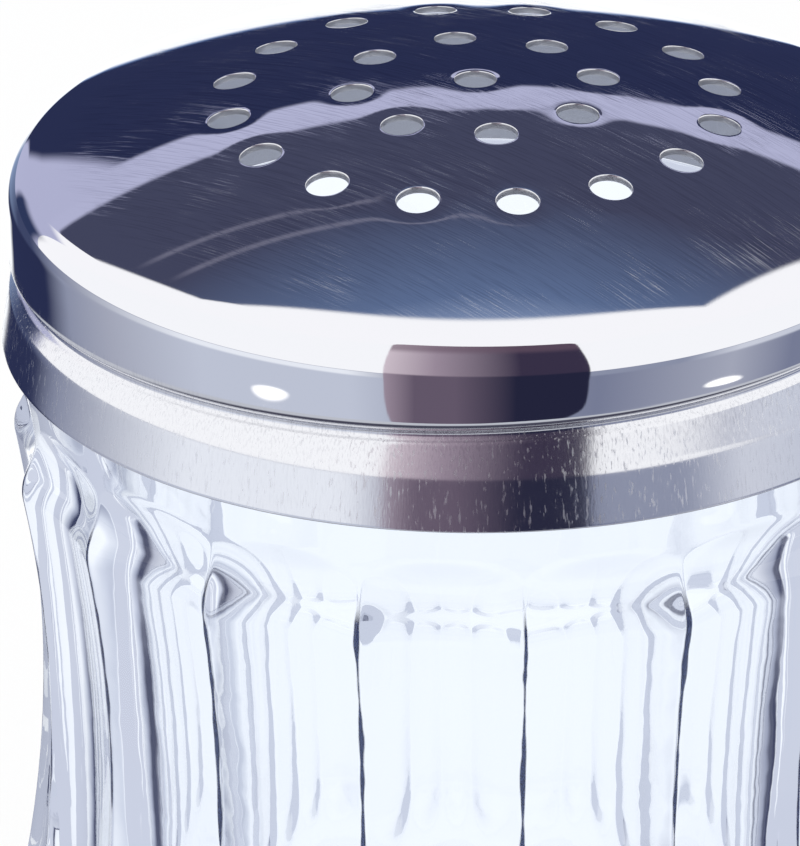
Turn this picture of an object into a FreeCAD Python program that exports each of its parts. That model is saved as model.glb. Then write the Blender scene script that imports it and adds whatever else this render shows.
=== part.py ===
"""Table shaker: a fluted pressed-glass jar closed by a domed, perforated screw lid of stamped sheet.

Frame: +Z up, origin at the centre of the foot, so the table is the plane z = 0.  Lengths are
millimetres and angles are degrees.  The front is -Y.  Each piece is one body, built from sketches
and features whose sizes are read from the sheet "sizes".
"""
import FreeCAD
import Part
import Sketcher

import math
import os
import re

# Driving sizes: name, value, what it is.
SIZES = [
    ("belly_radius", 38.0, "widest place of the jar, near its foot"),
    ("belly_height", 19.7, "height of that widest place above the table"),
    ("belly_curve", 26.0, "upright curve of the belly, drawn in to the foot"),
    ("foot_width", 3.0, "width of the ring that the jar stands on"),
    ("punt_slope", 4.0, "level width of the slope from that ring up to the hollow under the jar"),
    ("punt_rise", 1.6, "height of the hollow's flat roof above the table"),
    ("heel_chamfer", 0.8, "edge break between the foot and the belly"),
    ("waist_draw", 3.8, "how far the waist is drawn in from the belly"),
    ("waist_height", 51.0, "height of the waist above the table"),
    ("bulge_swell", 1.7, "how far the jar's shoulder swells out from the waist"),
    ("bulge_curve", 4.0, "upright curve of the shoulder"),
    ("collar_draw", 1.45, "how far the plain collar is drawn in from the shoulder"),
    ("collar_curve", 4.0, "hollow curve between the shoulder and the collar"),
    ("collar_band", 5.84, "height of the collar's upright part"),
    ("neck_step", 1.25, "how far the neck is drawn in from the collar"),
    ("neck_slope", 1.0, "height of the slope from the collar to the neck"),
    ("neck_height", 11.9, "height of the neck from that slope to the mouth's rim"),
    ("rim_chamfer", 0.8, "edge break round the mouth, inside and outside"),
    ("neck_wall", 4.6, "wall of the neck at the mouth"),
    ("bore_draft", 1.2, "how much narrower the bore is at the floor, so that the plunger draws out"),
    ("floor_height", 9.6, "height of the cavity's floor above the table"),
    ("floor_rounding", 9.0, "rounding between the floor and the bore"),
    ("flute_count", 18, "upright flutes round the jar"),
    ("flute_depth", 1.85, "depth of a flute under the ridges' envelope"),
    ("flute_curve", 16.0, "level curve of a flute"),
    ("flute_top_turn", 25.0, "angle up the shoulder at which a flute starts to run out"),
    ("flute_top_curve", 3.5, "curve by which a flute runs out at its top"),
    ("flute_top_swing", 85.0, "angle turned through by that curve"),
    ("flute_drop", 7.7, "how far below the belly's widest place a flute's path starts, outside the glass"),
    ("jar_turn", 6.1, "turn of the jar about its axis"),
    ("sheet_gauge", 0.5, "thickness of the lid's sheet"),
    ("dome_curve", 92.0, "outer curve of the dome"),
    ("lid_shoulder", 2.6, "outer rounding between the dome and the band"),
    ("neck_gap", 1.6, "gap between the neck and the lid's band, where the threads lie"),
    ("skirt_lap", 0.9, "how far the lid's cut edge lies below the collar's top"),
    ("skirt_rise", 3.9, "height of the flared skirt"),
    ("skirt_flare", 0.7, "how far the skirt flares out from the band"),
    ("hole_radius", 1.68, "radius of each pouring hole"),
    ("outer_ring_radius", 18.7, "circle of the outer holes"),
    ("outer_ring_count", 16, "holes on the outer circle"),
    ("inner_ring_radius", 9.36, "circle of the inner holes"),
    ("inner_ring_count", 8, "holes on the inner circle"),
    ("lid_turn", 9.6, "turn of the lid about its axis"),
    ("seat_clearance", 0.08, "gap between the mouth's rim and the lid that rests on it"),
    ("cut_overrun", 2.0, "how far a cut runs past the surface that it opens"),
]

# Sizes worked out from the driving ones: name, formula, what it is.
DERIVED = [
    ("waist_radius", "belly_radius - waist_draw", "narrowest place of the jar"),
    ("bulge_radius", "waist_radius + bulge_swell", "widest place of the jar's shoulder"),
    ("collar_radius", "bulge_radius - collar_draw", "plain collar between the shoulder and the neck"),
    ("neck_radius", "collar_radius - neck_step", "neck, without its thread"),
    ("mouth_radius", "neck_radius - neck_wall", "bore at the mouth"),
    ("floor_radius", "mouth_radius - bore_draft", "bore at the floor"),
    ("waist_drop", "waist_height - belly_height", "height from the belly's widest place to the waist"),
    ("waist_curve", "(waist_drop^2 + waist_draw^2) / (2 * waist_draw) - belly_curve",
     "upright curve of the waist, which the belly's curve touches"),
    ("waist_centre", "waist_radius + waist_curve", "distance of the waist curve's centre from the axis"),
    ("belly_centre", "belly_radius - belly_curve", "the same for the belly"),
    ("belly_foot", "belly_centre + sqrt(belly_curve^2 - belly_height^2)", "radius of the belly at the table"),
    ("foot_inner_radius", "belly_foot - foot_width", "inner edge of the ring that the jar stands on"),
    ("punt_radius", "foot_inner_radius - punt_slope", "flat roof of the hollow under the jar"),
    ("bulge_centre", "bulge_radius - bulge_curve", "distance of the shoulder curve's centre from the axis"),
    ("bulge_level", "waist_height + sqrt((waist_curve + bulge_curve)^2 - (waist_centre - bulge_centre)^2)",
     "height of the shoulder curve's centre"),
    ("collar_centre", "collar_radius + collar_curve", "distance of the collar curve's centre from the axis"),
    ("collar_level", "bulge_level + sqrt((bulge_curve + collar_curve)^2 - (collar_centre - bulge_centre)^2)",
     "height of the collar curve's centre"),
    ("collar_height", "collar_level + collar_band", "top of the collar above the table"),
    ("neck_foot", "collar_height + neck_slope", "height at which the neck starts"),
    ("rim_height", "neck_foot + neck_height", "height of the mouth's rim"),
    ("band_radius", "neck_radius + neck_gap + sheet_gauge", "outer radius of the lid's upper band"),
    ("skirt_bottom", "collar_height - skirt_lap", "height of the lid's cut edge"),
    ("skirt_top", "skirt_bottom + skirt_rise", "height at which the skirt starts to flare"),
    ("skirt_radius", "band_radius + skirt_flare", "outer radius at the cut edge"),
    ("rim_reach", "dome_curve - sheet_gauge - seat_clearance",
     "distance of the rim's outer edge from the dome curve's centre"),
    ("dome_level", "rim_height - sqrt(rim_reach^2 - (neck_radius - rim_chamfer)^2)",
     "height of the dome curve's centre, with the dome resting on the rim"),
    ("overall_height", "dome_level + dome_curve", "top of the dome above the table"),
    ("shoulder_centre", "band_radius - lid_shoulder", "distance of the lid shoulder's centre from the axis"),
    ("shoulder_level", "dome_level + sqrt((dome_curve - lid_shoulder)^2 - shoulder_centre^2)",
     "height of the lid shoulder's centre"),
    ("flute_foot", "belly_height - flute_drop", "height at which a flute's path starts"),
    ("flute_waist_centre", "waist_centre - flute_depth", "distance from the axis, for a flute's path"),
    ("flute_bulge_centre", "bulge_centre - flute_depth", "the same for its shoulder curve"),
    ("flute_foot_reach", "flute_waist_centre - sqrt(waist_curve^2 - (waist_height - flute_foot)^2)",
     "radius at which the path starts"),
    ("flute_section_reach", "flute_foot_reach + flute_curve", "distance of the cutting circle's centre"),
    ("flute_away_level", "bulge_level + (bulge_curve + flute_top_curve) * sin(flute_top_turn * 1deg)",
     "height of the centre of the curve that turns the path outward"),
    ("flute_top", "flute_away_level + flute_top_curve * sin((flute_top_swing - flute_top_turn) * 1deg)",
     "height at which the path ends"),
]
NAMES = [row[0] for row in SIZES + DERIVED]

# The number by which a sketch names the centre of an arc or a circle.
CENTRE_INDEX = 3

doc = FreeCAD.newDocument("shaker")
sheet = doc.addObject("Spreadsheet::Sheet", "sizes")


def fill_sheet():
    """Write the driving sizes and the formulas into the sheet, each with its alias."""
    rows = [(name, str(value), note) for name, value, note in SIZES]
    rows += [(name, "=" + formula, note) for name, formula, note in DERIVED]
    for row, (name, text, note) in enumerate(rows, start=1):
        sheet.set("A%d" % row, name)
        sheet.set("B%d" % row, text)
        sheet.set("C%d" % row, note)
        sheet.setAlias("B%d" % row, name)
        doc.recompute()


def size(name):
    """Return one size of the sheet as a number."""
    return float(getattr(sheet, name))


def cell(formula):
    """Return a formula in which each size is read from the sheet."""
    return re.sub("[a-z_]+", lambda word: "sizes." * (word[0] in NAMES) + word[0], formula)


def origin_feature(body, role):
    """Return one plane or axis of a body's own origin."""
    return next(item for item in body.Origin.OriginFeatures if item.Role == role)


def polar(centre, radius, angle):
    """Return the point of a circle at an angle in degrees."""
    turn = math.radians(angle)
    return (centre[0] + radius * math.cos(turn), centre[1] + radius * math.sin(turn))


def lean(first, second):
    """Return the direction from one point to another, in degrees from 0 to 360."""
    return math.degrees(math.atan2(second[1] - first[1], second[0] - first[0])) % 360


class Outline:
    """A chain of lines and arcs in one sketch, whose sizes are bound to the sheet."""

    def __init__(self, body, name, role="XZ_Plane"):
        self.sketch = body.newObject("Sketcher::SketchObject", name)
        self.sketch.AttachmentSupport = [(origin_feature(body, role), "")]
        self.sketch.MapMode = "FlatFace"
        self.ends = []

    def line(self, start, end):
        """Add a line and return its number."""
        vectors = [FreeCAD.Vector(x, y, 0) for x, y in (start, end)]
        self.ends.append((1, 2))
        return self.sketch.addGeometry(Part.LineSegment(*vectors), False)

    def arc(self, centre, radius, begin, finish):
        """Add an arc that runs from one angle to another, either way round."""
        circle = Part.Circle(FreeCAD.Vector(*centre, 0), FreeCAD.Vector(0, 0, 1), radius)
        low, high = sorted((math.radians(begin), math.radians(finish)))
        self.ends.append((1, 2) if begin < finish else (2, 1))
        return self.sketch.addGeometry(Part.ArcOfCircle(circle, low, high), False)

    def circle(self, centre, radius):
        """Add a whole circle and return its number."""
        self.ends.append((1, 1))
        circle = Part.Circle(FreeCAD.Vector(*centre, 0), FreeCAD.Vector(0, 0, 1), radius)
        return self.sketch.addGeometry(circle, False)

    def start(self, piece):
        """Return the number of a piece with the number of its first point."""
        return (piece, self.ends[piece][0])

    def end(self, piece):
        """Return the number of a piece with the number of its last point."""
        return (piece, self.ends[piece][1])

    def rule(self, kind, *where):
        """Add a constraint that has no size."""
        self.sketch.addConstraint(Sketcher.Constraint(kind, *where))

    def bind(self, kind, where, formula):
        """Add a constraint with a size that follows a formula."""
        number = self.sketch.addConstraint(Sketcher.Constraint(kind, *where, measure(formula)))
        self.sketch.setExpression("Constraints[%d]" % number, cell(formula))

    def join(self, first, second, smooth=False):
        """Join one piece to the next, as a tangent where smooth."""
        self.rule("Tangent" if smooth else "Coincident", *self.end(first), *self.start(second))

    def place(self, point, across=None, height=None):
        """Hold a point at its distance from the axis and at its height."""
        if across is not None:
            self.bind("DistanceX", (-1, 1) + point, across)
        if height is not None:
            self.bind("DistanceY", (-1, 1) + point, height)


def measure(formula):
    """Return the value of a formula of sizes."""
    return float(sheet.evalExpression(formula))


def revolve(body, kind, name, outline):
    """Turn a closed outline about the axis, as added or removed material."""
    feature = body.newObject("PartDesign::" + kind, name)
    feature.Profile = outline.sketch
    feature.ReferenceAxis = (outline.sketch, ["V_Axis"])
    feature.Angle = 360
    doc.recompute()
    return feature


def ring(body, name, features, count):
    """Repeat features evenly about the axis."""
    pattern = body.newObject("PartDesign::PolarPattern", name)
    pattern.Originals = features
    pattern.Axis = (origin_feature(body, "Z_Axis"), [""])
    pattern.Angle = 360
    pattern.setExpression("Occurrences", cell(count))
    body.Tip = pattern
    doc.recompute()
    return pattern


def break_edges(body, kind, name, base, amount, height, *reaches):
    """Round or chamfer the level circles of a feature that lie at a height and have some radii."""
    near = 1e-4 * size("overall_height")
    edges = []
    for number, edge in enumerate(base.Shape.Edges, start=1):
        curve = edge.Curve
        if isinstance(curve, Part.Circle) and abs(curve.Center.z - measure(height)) < near:
            if any(abs(curve.Radius - measure(reach)) < near for reach in reaches):
                edges.append("Edge%d" % number)
    feature = body.newObject("PartDesign::" + kind, name)
    feature.Base = (base, edges)
    feature.setExpression("Radius" if kind == "Fillet" else "Size", cell(amount))
    doc.recompute()
    return feature


def jar_outline(body):
    """Draw half of the jar's outside: foot, belly, waist, shoulder, collar and neck."""
    waist = (size("waist_centre"), size("waist_height"))
    belly = (size("belly_centre"), size("belly_height"))
    bulge = (size("bulge_centre"), size("bulge_level"))
    collar = (size("collar_centre"), size("collar_level"))
    rim = size("rim_height")
    outline = Outline(body, "jar_outline")
    roof = outline.line((0, size("punt_rise")), (size("punt_radius"), size("punt_rise")))
    slope = outline.line((size("punt_radius"), size("punt_rise")), (size("foot_inner_radius"), 0))
    foot = outline.line((size("foot_inner_radius"), 0), (size("belly_foot"), 0))
    low = lean(belly, (size("belly_foot"), 0)) - 360
    flank = outline.arc(belly, size("belly_curve"), low, lean(belly, waist))
    middle = outline.arc(waist, size("waist_curve"), lean(waist, belly), lean(waist, bulge))
    shoulder = outline.arc(bulge, size("bulge_curve"), lean(bulge, waist) - 360, lean(bulge, collar))
    hollow = outline.arc(collar, size("collar_curve"), lean(collar, bulge), 180)
    band = outline.line((size("collar_radius"), collar[1]), (size("collar_radius"), size("collar_height")))
    neck_foot = (size("neck_radius"), size("neck_foot"))
    step = outline.line((size("collar_radius"), size("collar_height")), neck_foot)
    neck = outline.line(neck_foot, (size("neck_radius"), rim))
    top = outline.line((size("neck_radius"), rim), (0, rim))
    axis = outline.line((0, rim), (0, size("punt_rise")))
    for first, second in ((roof, slope), (slope, foot), (foot, flank), (band, step), (step, neck),
                          (neck, top), (top, axis), (axis, roof)):
        outline.join(first, second)
    for first, second in ((flank, middle), (middle, shoulder), (shoulder, hollow), (hollow, band)):
        outline.join(first, second, smooth=True)
    outline.rule("PointOnObject", *outline.start(roof), -2)
    outline.rule("PointOnObject", *outline.start(axis), -2)
    outline.rule("PointOnObject", *outline.start(foot), -1)
    outline.rule("PointOnObject", *outline.end(foot), -1)
    outline.rule("Horizontal", roof)
    outline.rule("Horizontal", top)
    outline.rule("Vertical", band)
    outline.rule("Vertical", neck)
    outline.place(outline.end(roof), "punt_radius", "punt_rise")
    outline.place(outline.start(foot), "foot_inner_radius")
    outline.place((flank, CENTRE_INDEX), "belly_centre")
    outline.place((middle, CENTRE_INDEX), "waist_centre", "waist_height")
    outline.place((shoulder, CENTRE_INDEX), "bulge_centre")
    outline.place(outline.end(band), "collar_radius", "collar_height")
    outline.place(outline.start(neck), "neck_radius", "neck_foot")
    outline.place(outline.start(top), None, "rim_height")
    for piece, name in ((flank, "belly_curve"), (middle, "waist_curve"), (shoulder, "bulge_curve"),
                        (hollow, "collar_curve")):
        outline.bind("Radius", (piece,), name)
    return outline


def cavity_outline(body):
    """Draw half of the cavity, from the floor to past the mouth."""
    rim = size("rim_height")
    over = rim + size("cut_overrun")
    corners = [(0, size("floor_height")), (size("floor_radius"), size("floor_height")),
               (size("mouth_radius"), rim), (size("mouth_radius"), over), (0, over)]
    outline = Outline(body, "cavity_outline")
    pieces = [outline.line(first, second) for first, second in zip(corners, corners[1:] + corners[:1])]
    for first, second in zip(pieces, pieces[1:] + pieces[:1]):
        outline.join(first, second)
    floor, bore, mouth, cover, axis = pieces
    outline.rule("PointOnObject", *outline.start(floor), -2)
    outline.rule("Horizontal", floor)
    outline.rule("Vertical", mouth)
    outline.rule("Horizontal", cover)
    outline.rule("Vertical", axis)
    outline.place(outline.end(floor), "floor_radius", "floor_height")
    outline.place(outline.end(bore), "mouth_radius", "rim_height")
    outline.place(outline.end(mouth), None, "rim_height + cut_overrun")
    return outline


def flute_path(body):
    """Draw the upright path of a flute's cutter, from outside the belly to outside the collar.

    It is the waist and the shoulder of the jar, moved in by the flute's depth.  Below, it leaves the
    glass by itself where the belly turns in, and above the shoulder a curve turns it outward.
    """
    turn, swing = size("flute_top_turn"), size("flute_top_swing")
    waist = (size("flute_waist_centre"), size("waist_height"))
    bulge = (size("flute_bulge_centre"), size("bulge_level"))
    away = polar(bulge, size("bulge_curve") + size("flute_top_curve"), turn)
    start = (size("flute_foot_reach"), size("flute_foot"))
    outline = Outline(body, "flute_path")
    first = outline.arc(waist, size("waist_curve"), lean(waist, start), lean(waist, bulge))
    second = outline.arc(bulge, size("bulge_curve"), lean(bulge, waist) - 360, turn)
    third = outline.arc(away, size("flute_top_curve"), 180 + turn, 180 + turn - swing)
    outline.join(first, second, smooth=True)
    outline.join(second, third, smooth=True)
    outline.place((first, CENTRE_INDEX), "flute_waist_centre", "waist_height")
    outline.place(outline.start(first), None, "flute_foot")
    outline.place((second, CENTRE_INDEX), "flute_bulge_centre")
    outline.place((third, CENTRE_INDEX), None, "flute_away_level")
    outline.place(outline.end(third), None, "flute_top")
    for piece, name in ((first, "waist_curve"), (second, "bulge_curve"), (third, "flute_top_curve")):
        outline.bind("Radius", (piece,), name)
    return outline


def flute_section(body):
    """Draw the level circle that a flute is cut with, where its path starts."""
    section = Outline(body, "flute_section", "XY_Plane")
    circle = section.circle((size("flute_section_reach"), 0), size("flute_curve"))
    section.place((circle, CENTRE_INDEX), "flute_section_reach")
    section.rule("PointOnObject", circle, CENTRE_INDEX, -1)
    section.bind("Radius", (circle,), "flute_curve")
    section.sketch.setExpression(".AttachmentOffset.Base.z", cell("flute_foot"))
    return section


def cut_flute(body):
    """Cut one flute by moving the level circle along its path without turning it."""
    path, section = flute_path(body), flute_section(body)
    doc.recompute()
    flute = body.newObject("PartDesign::SubtractivePipe", "flute")
    flute.Profile = section.sketch
    flute.Spine = (path.sketch, ["Edge1", "Edge2", "Edge3"])
    flute.Mode = "Fixed"
    doc.recompute()
    return flute


def turn_body(body, turn):
    """Turn a whole piece about the upright axis."""
    upright = FreeCAD.Rotation(FreeCAD.Vector(0, 0, 1), size(turn))
    body.Placement = FreeCAD.Placement(FreeCAD.Vector(), upright)
    body.setExpression(".Placement.Rotation.Angle", cell(turn) + " * 1deg")


def make_jar():
    """Build the jar: a turned outside, a turned cavity, broken edges and flutes."""
    body = doc.addObject("PartDesign::Body", "jar")
    body.Label = "glass_jar"
    revolve(body, "Revolution", "jar_outside", jar_outline(body))
    cavity = revolve(body, "Groove", "jar_cavity", cavity_outline(body))
    round_off = ("floor_rounding", "floor_height", "floor_radius")
    floor = break_edges(body, "Fillet", "floor_round", cavity, *round_off)
    rim_edges = ("rim_chamfer", "rim_height", "mouth_radius", "neck_radius")
    rim = break_edges(body, "Chamfer", "rim_break", floor, *rim_edges)
    break_edges(body, "Chamfer", "heel_break", rim, "heel_chamfer", "0", "belly_foot")
    ring(body, "flutes", [cut_flute(body)], "flute_count")
    turn_body(body, "jar_turn")
    return body


def lid_outline(body):
    """Draw half of the lid's section: one gauge of sheet from the dome to the cut edge."""
    gauge = size("sheet_gauge")
    dome, shoulder = (0, size("dome_level")), (size("shoulder_centre"), size("shoulder_level"))
    tilt = lean(dome, shoulder)
    outline = Outline(body, "lid_outline")
    chains = []
    for inset in (0, gauge):
        wall = size("band_radius") - inset
        cut_edge = (size("skirt_radius") - inset, size("skirt_bottom"))
        chains.append([outline.arc(dome, size("dome_curve") - inset, 90, tilt),
                       outline.arc(shoulder, size("lid_shoulder") - inset, tilt, 0),
                       outline.line((wall, shoulder[1]), (wall, size("skirt_top"))),
                       outline.line((wall, size("skirt_top")), cut_edge)])
    outer, inner = chains
    edge = outline.line((size("skirt_radius"), size("skirt_bottom")), cut_edge)
    axis = outline.line((0, size("overall_height") - gauge), (0, size("overall_height")))
    for chain in chains:
        outline.join(chain[0], chain[1], smooth=True)
        outline.join(chain[1], chain[2], smooth=True)
        outline.join(chain[2], chain[3])
        outline.rule("Vertical", chain[2])
        outline.place(outline.end(chain[2]), None, "skirt_top")
    outline.join(outer[3], edge)
    outline.rule("Coincident", *outline.end(edge), *outline.end(inner[3]))
    outline.rule("Coincident", *outline.start(axis), *outline.start(inner[0]))
    outline.join(axis, outer[0])
    outline.rule("PointOnObject", *outline.start(axis), -2)
    outline.rule("PointOnObject", *outline.end(axis), -2)
    outline.rule("PointOnObject", outer[0], CENTRE_INDEX, -2)
    outline.place((outer[0], CENTRE_INDEX), None, "dome_level")
    outline.place((outer[1], CENTRE_INDEX), "shoulder_centre")
    outline.rule("Coincident", outer[0], CENTRE_INDEX, inner[0], CENTRE_INDEX)
    outline.rule("Coincident", outer[1], CENTRE_INDEX, inner[1], CENTRE_INDEX)
    outline.bind("Radius", (outer[0],), "dome_curve")
    outline.bind("Radius", (inner[0],), "dome_curve - sheet_gauge")
    outline.bind("Radius", (outer[1],), "lid_shoulder")
    outline.place(outline.start(edge), "skirt_radius", "skirt_bottom")
    outline.place(outline.end(edge), "skirt_radius - sheet_gauge", "skirt_bottom")
    return outline


def punch(body, name, reach):
    """Punch one pouring hole down through the dome."""
    outline = Outline(body, name + "_place", "XY_Plane")
    circle = outline.circle((measure(reach), 0), size("hole_radius"))
    outline.rule("PointOnObject", circle, CENTRE_INDEX, -1)
    if reach == "0":
        outline.rule("PointOnObject", circle, CENTRE_INDEX, -2)
    else:
        outline.place((circle, CENTRE_INDEX), reach)
    outline.bind("Radius", (circle,), "hole_radius")
    outline.sketch.setExpression(".AttachmentOffset.Base.z", cell("overall_height"))
    doc.recompute()
    pocket = body.newObject("PartDesign::Pocket", name)
    pocket.Profile = outline.sketch
    pocket.Type = "ThroughAll"
    doc.recompute()
    return pocket


def make_lid():
    """Build the lid: a turned shell with punched holes."""
    body = doc.addObject("PartDesign::Body", "lid")
    body.Label = "perforated_lid"
    revolve(body, "Revolution", "lid_shell", lid_outline(body))
    punch(body, "middle_hole", "0")
    ring(body, "inner_holes", [punch(body, "inner_hole", "inner_ring_radius")], "inner_ring_count")
    ring(body, "outer_holes", [punch(body, "outer_hole", "outer_ring_radius")], "outer_ring_count")
    turn_body(body, "lid_turn")
    return body


def check():
    """Stop when any object of the document is in error or any shape is missing or not valid."""
    for item in doc.Objects:
        state = " ".join(item.State)
        if "Invalid" in state or "Error" in state:
            raise RuntimeError("%s is in error: %s" % (item.Name, state))
        if item.isDerivedFrom("PartDesign::Feature") or item.isDerivedFrom("PartDesign::Body"):
            if item.Shape.isNull() or not item.Shape.isValid():
                raise RuntimeError("%s has no valid shape" % item.Name)


def export(pieces):
    """Write each piece to its own file."""
    os.makedirs("parts", exist_ok=True)
    for piece in pieces:
        if len(piece.Shape.Solids) != 1:
            raise RuntimeError("%s is not one solid" % piece.Label)
        piece.Shape.exportStep("parts/%s.step" % piece.Label)


fill_sheet()
built = [make_jar(), make_lid()]
doc.recompute()
check()
export(built)
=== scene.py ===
"""Dressed scene of a fluted glass table shaker with a domed, perforated steel screw lid.

Sizes in the classes are millimetres and degrees, in the frame of the model: +Z up, the foot of the
jar on z = 0 and the camera on the -Y side.  Meshes are written in metres.
"""
import logging
import math
from dataclasses import dataclass, field
from enum import Enum
from functools import reduce

import bmesh
import bpy
import numpy as np
from mathutils import Matrix, Vector


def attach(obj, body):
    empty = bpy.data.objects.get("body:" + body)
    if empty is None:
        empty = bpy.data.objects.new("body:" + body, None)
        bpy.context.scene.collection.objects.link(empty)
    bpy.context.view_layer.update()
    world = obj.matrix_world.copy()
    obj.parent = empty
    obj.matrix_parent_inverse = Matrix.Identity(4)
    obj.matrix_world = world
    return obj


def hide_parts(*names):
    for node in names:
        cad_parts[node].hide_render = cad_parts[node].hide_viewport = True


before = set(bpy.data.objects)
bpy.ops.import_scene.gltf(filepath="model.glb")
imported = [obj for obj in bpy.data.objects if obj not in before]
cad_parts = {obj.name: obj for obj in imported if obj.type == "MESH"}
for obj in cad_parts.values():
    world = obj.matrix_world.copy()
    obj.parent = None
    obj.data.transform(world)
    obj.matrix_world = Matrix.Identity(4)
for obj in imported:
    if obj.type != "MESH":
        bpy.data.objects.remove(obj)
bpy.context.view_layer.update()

log = logging.getLogger("shaker")
MM = 0.001
MERGE_DISTANCE = 1e-7
Rows = list[np.ndarray]
Point = tuple[float, float]
Span = tuple[float, float, float]
Socket = bpy.types.NodeSocket
Colour = tuple[float, float, float, float]


class Body(Enum):
    """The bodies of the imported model."""

    JAR = "jar"
    LID = "lid"


class Slot(Enum):
    """The material slots of the record."""

    GLASS = "glass"
    STEEL = "steel"


class Tone(Enum):
    """The tones of the surroundings, as a screen shows them."""

    INK = (36, 37, 60)
    NIGHT = (40, 46, 78)
    DUSK = (62, 70, 102)
    SLATE = (66, 69, 93)
    BLUE = (92, 110, 146)
    SKY = (130, 148, 182)
    HAZE = (120, 126, 151)
    DOVE = (140, 146, 168)
    ASH = (165, 169, 186)
    MIST = (192, 198, 214)
    CLOUD = (206, 210, 222)
    SNOW = (234, 238, 246)
    WHITE = (250, 252, 255)
    LILAC = (178, 180, 210)
    BLUSH = (206, 192, 202)
    ROSE = (155, 140, 155)
    PLUM = (100, 88, 106)
    UMBER = (56, 49, 71)


Stops = list[tuple[float, Tone]]


def linear(red: int, green: int, blue: int) -> Colour:
    """Turn a display colour of 0 to 255 into the linear colour that a shader takes.

    Args:
        red, green, blue: the colour as it shows on a screen.
    Returns:
        The linear colour with an alpha of 1.
    """
    shown = np.array([red, green, blue]) / 255
    low, high = shown / 12.92, ((shown + 0.055) / 1.055) ** 2.4
    return (*np.where(shown <= 0.04045, low, high).tolist(), 1.0)


def smooth_min(first: np.ndarray, second: np.ndarray, reach: float) -> np.ndarray:
    """Return the lesser of two heights, rounded where they are nearly equal.

    The rounding takes off reach/4 times the square of (1 - |first - second| / reach), where that
    bracket is above nought.
    """
    near = np.clip(1 - np.abs(first - second) / reach, 0, 1)
    return np.minimum(first, second) - near**2 * reach / 4


def fade(value: np.ndarray, start: float, end: float) -> np.ndarray:
    """Return 0 before start and 1 after end, with a smooth cubic step between."""
    share = np.clip((value - start) / (end - start), 0, 1)
    return share**2 * (3 - 2 * share)


def arc(centre: Point, radius: float, begin: float, finish: float, count: int) -> np.ndarray:
    """Return points along an arc, from one angle in degrees to another, as rows of (r, z).

    A point is the centre plus the radius times (cos a, sin a), at even steps of the angle a.
    """
    turn = np.radians(np.linspace(begin, finish, count))
    return np.stack([centre[0] + radius * np.cos(turn), centre[1] + radius * np.sin(turn)], axis=1)


def line(start: Point, end: Point, count: int) -> np.ndarray:
    """Return evenly spaced points along a line, as rows of (r, z)."""
    return np.linspace(start, end, count)


def lean(start: Point, end: Point) -> float:
    """Return the direction from one point to another in degrees."""
    return math.degrees(math.atan2(end[1] - start[1], end[0] - start[0]))


def chain(parts: Rows) -> np.ndarray:
    """Join runs of points into one profile, leaving out points that repeat."""
    points = np.concatenate(parts)
    step = np.linalg.norm(np.diff(points, axis=0), axis=1)
    return points[np.concatenate([[True], step > 1e-6])]


def mesh_object(name: str, points: np.ndarray, faces: list,
                body: Body) -> bpy.types.Object:
    """Make one closed, smooth piece from points in millimetres and ride it on a body.

    Args:
        name: the piece's name.
        points: corners, one row each; those that coincide are merged.
        faces: corner numbers of each face.
        body: the body that carries the piece.
    Returns:
        The new object, at the origin, with its normals outward.
    """
    mesh = bpy.data.meshes.new(name)
    mesh.from_pydata((points * MM).tolist(), [], faces)
    work = bmesh.new()
    work.from_mesh(mesh)
    bmesh.ops.remove_doubles(work, verts=work.verts, dist=MERGE_DISTANCE)
    bmesh.ops.recalc_face_normals(work, faces=work.faces)
    work.to_mesh(mesh)
    work.free()
    mesh.polygons.foreach_set("use_smooth", [True] * len(mesh.polygons))
    piece = bpy.data.objects.new(name, mesh)
    bpy.context.scene.collection.objects.link(piece)
    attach(piece, body.value)
    log.info("%s: %d faces", name, len(mesh.polygons))
    return piece


def grid_faces(rows: int, columns: int, first: int = 0, closed: bool = True) -> np.ndarray:
    """Return the quads of a grid of points that is numbered row by row.

    Args:
        rows, columns: the points each way.
        first: number of the grid's first point.
        closed: whether the last column joins the first.
    Returns:
        One row of four corner numbers for each quad.
    """
    wide = columns if closed else columns - 1
    row, column = np.meshgrid(np.arange(rows - 1), np.arange(wide), indexing="ij")
    after = (column + 1) % columns
    corners = [row * columns + column, row * columns + after,
               (row + 1) * columns + after, (row + 1) * columns + column]
    return first + np.stack(corners, axis=-1).reshape(-1, 4)


def turned_points(radius: np.ndarray, angle: np.ndarray, height: np.ndarray) -> np.ndarray:
    """Return the points (r cos a, r sin a, z) of a grid of radii, from a in degrees."""
    turn = np.radians(angle)
    upright = np.broadcast_to(height, radius.shape)
    return np.stack([radius * np.cos(turn), radius * np.sin(turn), upright], axis=-1)


@dataclass
class Thread:
    """The right-hand thread that lid and neck share: its height rises evenly with the angle."""

    pitch: float = 6.35
    foot: float = 84.2
    start: float = 126.0
    turns: float = 0.8
    run_out: float = 16.0

    def offset(self, angle: np.ndarray, height: np.ndarray,
               rise: float) -> tuple[np.ndarray, np.ndarray]:
        """Measure how far points lie above the thread's middle line.

        Args:
            angle: angles about the axis in degrees.
            height: heights of the points.
            rise: height of this line over the rolled thread.
        Returns:
            The height over the line, and 1 along the thread's length fading to 0 past its ends.
        """
        along = (angle - self.start) % 360
        end = self.turns * 360
        middle = self.foot + self.pitch * along / 360 + rise
        inside = fade(along, 0, self.run_out) * (1 - fade(along, end - self.run_out, end))
        return height - middle, inside


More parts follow.
